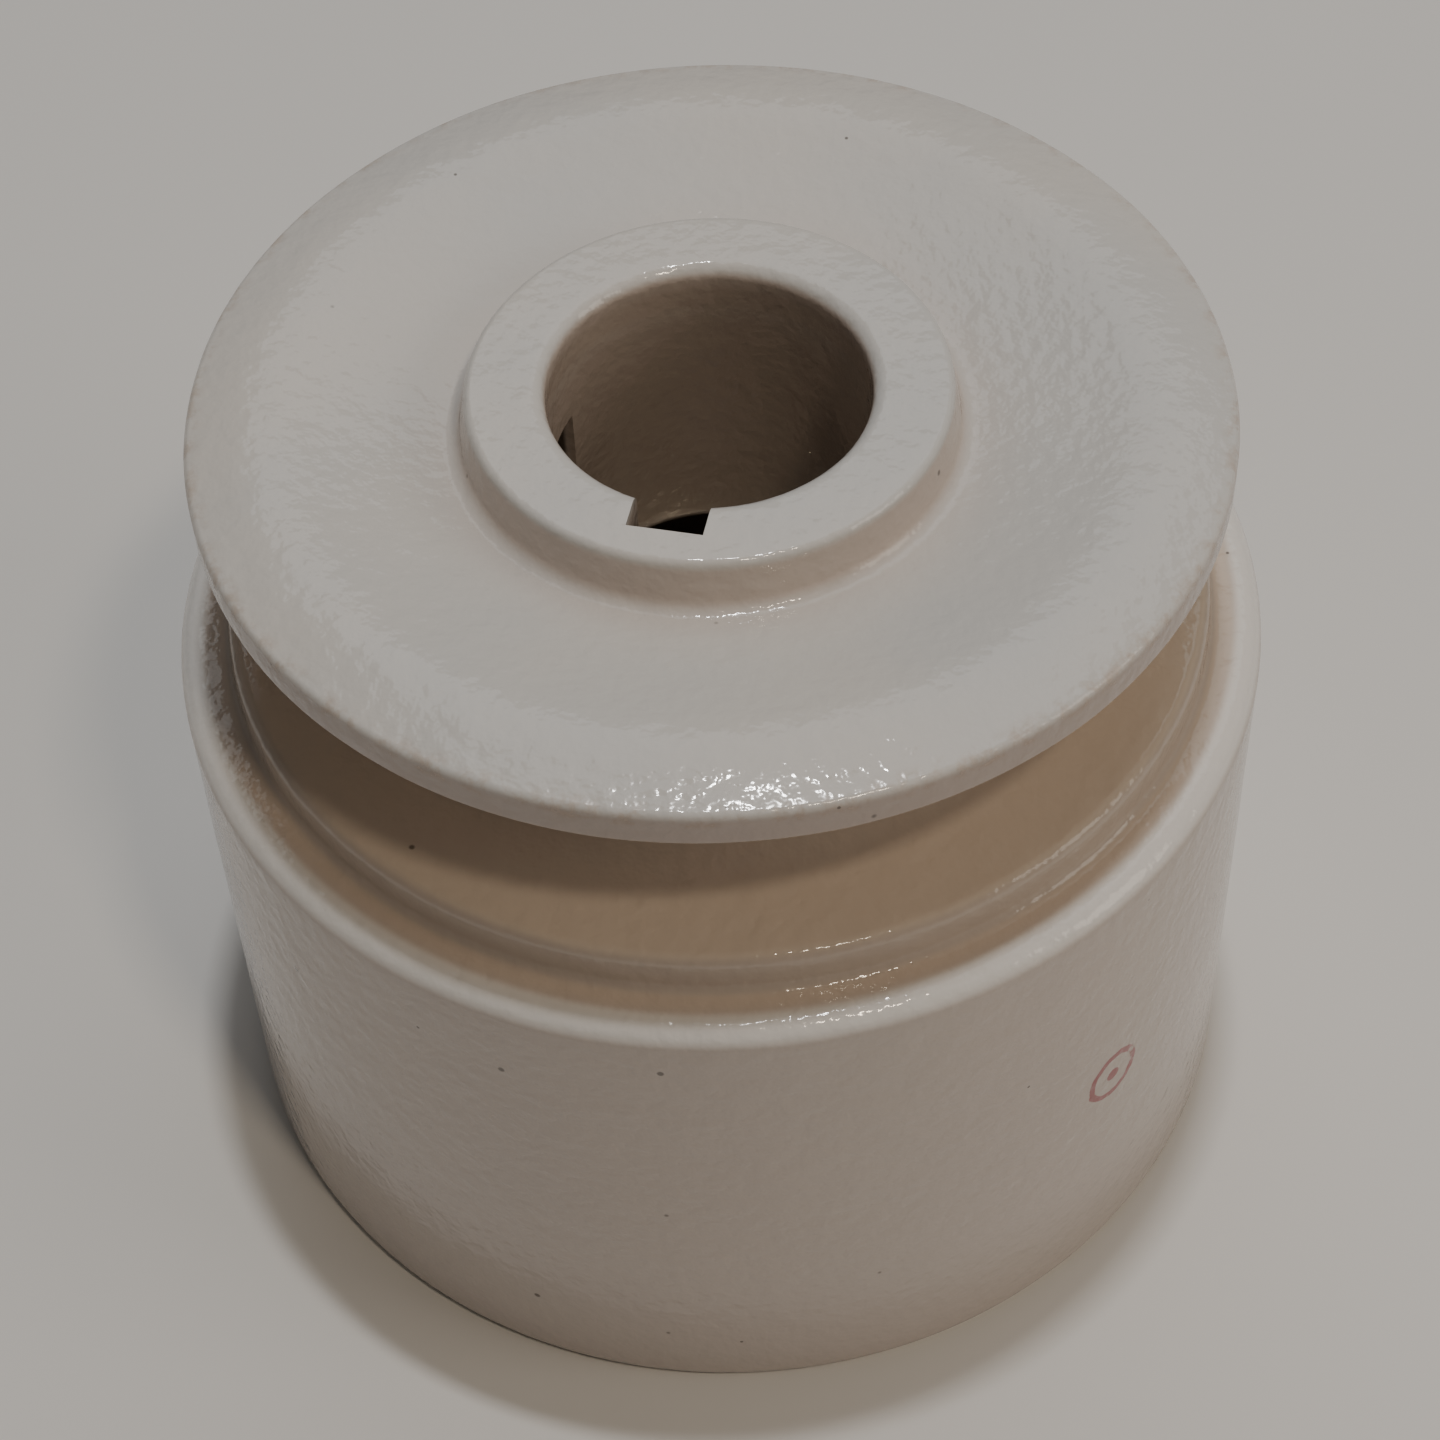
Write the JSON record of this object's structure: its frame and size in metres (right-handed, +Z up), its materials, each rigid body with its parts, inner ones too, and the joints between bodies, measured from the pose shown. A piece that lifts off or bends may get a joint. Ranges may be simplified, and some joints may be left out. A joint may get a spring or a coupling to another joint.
{
  "type": "porcelain fence insulator",
  "caption": "Glazed porcelain fence insulator: flanged top with a wire groove, hollow drum and keyed bore, with a captive lug bolt inside.",
  "frame": {"origin": "centre of the circle that the drum stands on, on the bore's axis", "axes": "+Z up the bore, from the drum's open end to the collar; +X is to the right of the keyway's side of the collar, and the keyway is near -Y"},
  "size_m": [0.076, 0.076, 0.0646],
  "materials": {
    "porcelain": "glossy white-grey glaze with a fine orange-peel surface and a few dark kiln specks",
    "rubber": "matt black moulded rubber",
    "zinc_plate": "zinc-plated pressed steel",
    "clip_steel": "phosphated spring steel",
    "bolt_steel": "zinc-plated turned steel",
    "pin_steel": "ground steel pin",
    "nut_steel": "yellow-passivated zinc plating",
    "spring_steel": "dark spring steel",
    "washer_steel": "zinc-plated steel"
  },
  "bodies": {
    "insulator": {"porcelain_body": "porcelain", "seal_ring": "rubber", "retainer_plate": "zinc_plate", "snap_ring": "clip_steel"},
    "washers": {"plain_washer": "washer_steel", "spring_washer": "spring_steel"},
    "bolt": {"fixing_bolt": "bolt_steel", "lug_pin": "pin_steel"},
    "nut": {"hex_nut": "nut_steel"}
  },
  "joints": [
    {"name": "bolt_travel", "type": "slide", "parent": "insulator", "child": "washers", "axis": [0, 0, 1], "range_m": [0, 0.0457]},
    {"name": "bolt_turn", "type": "hinge", "parent": "washers", "child": "bolt", "pos_m": [0, 0, 0.0082], "axis": [0, 0, 1], "range_deg": [-92, 0]},
    {"name": "nut_turn", "type": "hinge", "parent": "bolt", "child": "nut", "pos_m": [0, 0, 0.0328], "axis": [0, 0, 1], "continuous": true}
  ]
}
